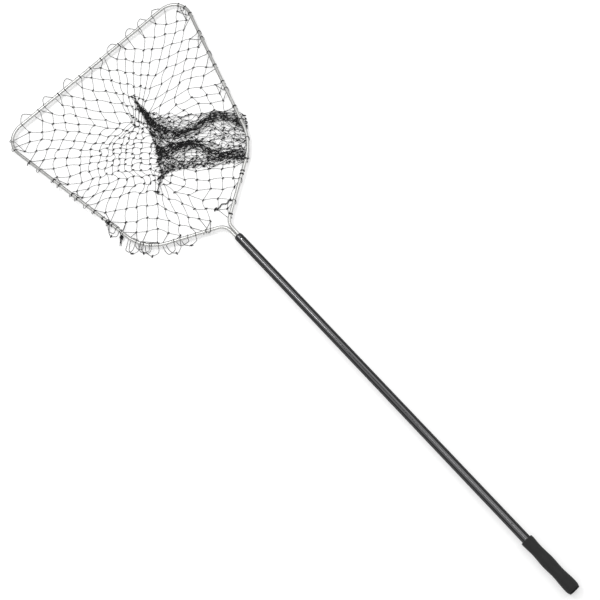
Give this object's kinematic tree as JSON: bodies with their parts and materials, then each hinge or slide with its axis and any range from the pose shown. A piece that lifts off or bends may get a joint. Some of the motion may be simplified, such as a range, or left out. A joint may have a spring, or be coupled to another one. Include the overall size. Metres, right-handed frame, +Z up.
{
  "type": "landing net",
  "caption": "Long tube handle with a rubber grip and a snap-in hoop of bent tube, hung with a knotted twine bag that lies flat and bunched.",
  "frame": {"origin": "centre of the butt cap's rear face, on the handle's axis", "axes": "+Y along the handle towards the hoop, +X the hoop's right side seen from above, +Z up; the net lies on ground at the pommel's underside, z = -0.0185"},
  "size_m": [0.7105, 2.129, 0.037],
  "materials": {
    "handle_anodised": "glossy black anodised tube",
    "grip_rubber": "matte moulded rubber, fine grain",
    "cap_plastic": "glossy black moulding",
    "hoop_aluminium": "satin drawn tube",
    "collar_plastic": "black moulding, slight sheen",
    "plug_plastic": "black moulding",
    "pin_steel": "plain steel pin",
    "button_steel": "polished steel button",
    "spring_steel": "spring strip",
    "net_twine": "coated black knotted twine"
  },
  "bodies": {
    "handle": {"handle_tube": "handle_anodised", "grip": "grip_rubber", "butt_cap": "cap_plastic"},
    "head": {"hoop": "hoop_aluminium", "leg_collar": "collar_plastic", "plug_upper": "plug_plastic", "plug_lower": "plug_plastic", "leg_pins": "pin_steel", "button_spring": "spring_steel", "rim_loops": "net_twine", "net_skirt": "net_twine", "net_fold": "net_twine", "rear_tie": "net_twine", "rim_tie": "net_twine"},
    "button": {"snap_button": "button_steel"}
  },
  "joints": [
    {"name": "head_slide", "type": "slide", "parent": "handle", "child": "head", "axis": [0, 1, 0], "range_m": [0, 0.15]},
    {"name": "button_press", "type": "slide", "parent": "head", "child": "button", "axis": [0, 0, -1], "range_m": [0, 0.0033], "stiffness_N_per_m": 1500, "springref_m": -0.002, "deforming": ["button_spring"]}
  ]
}
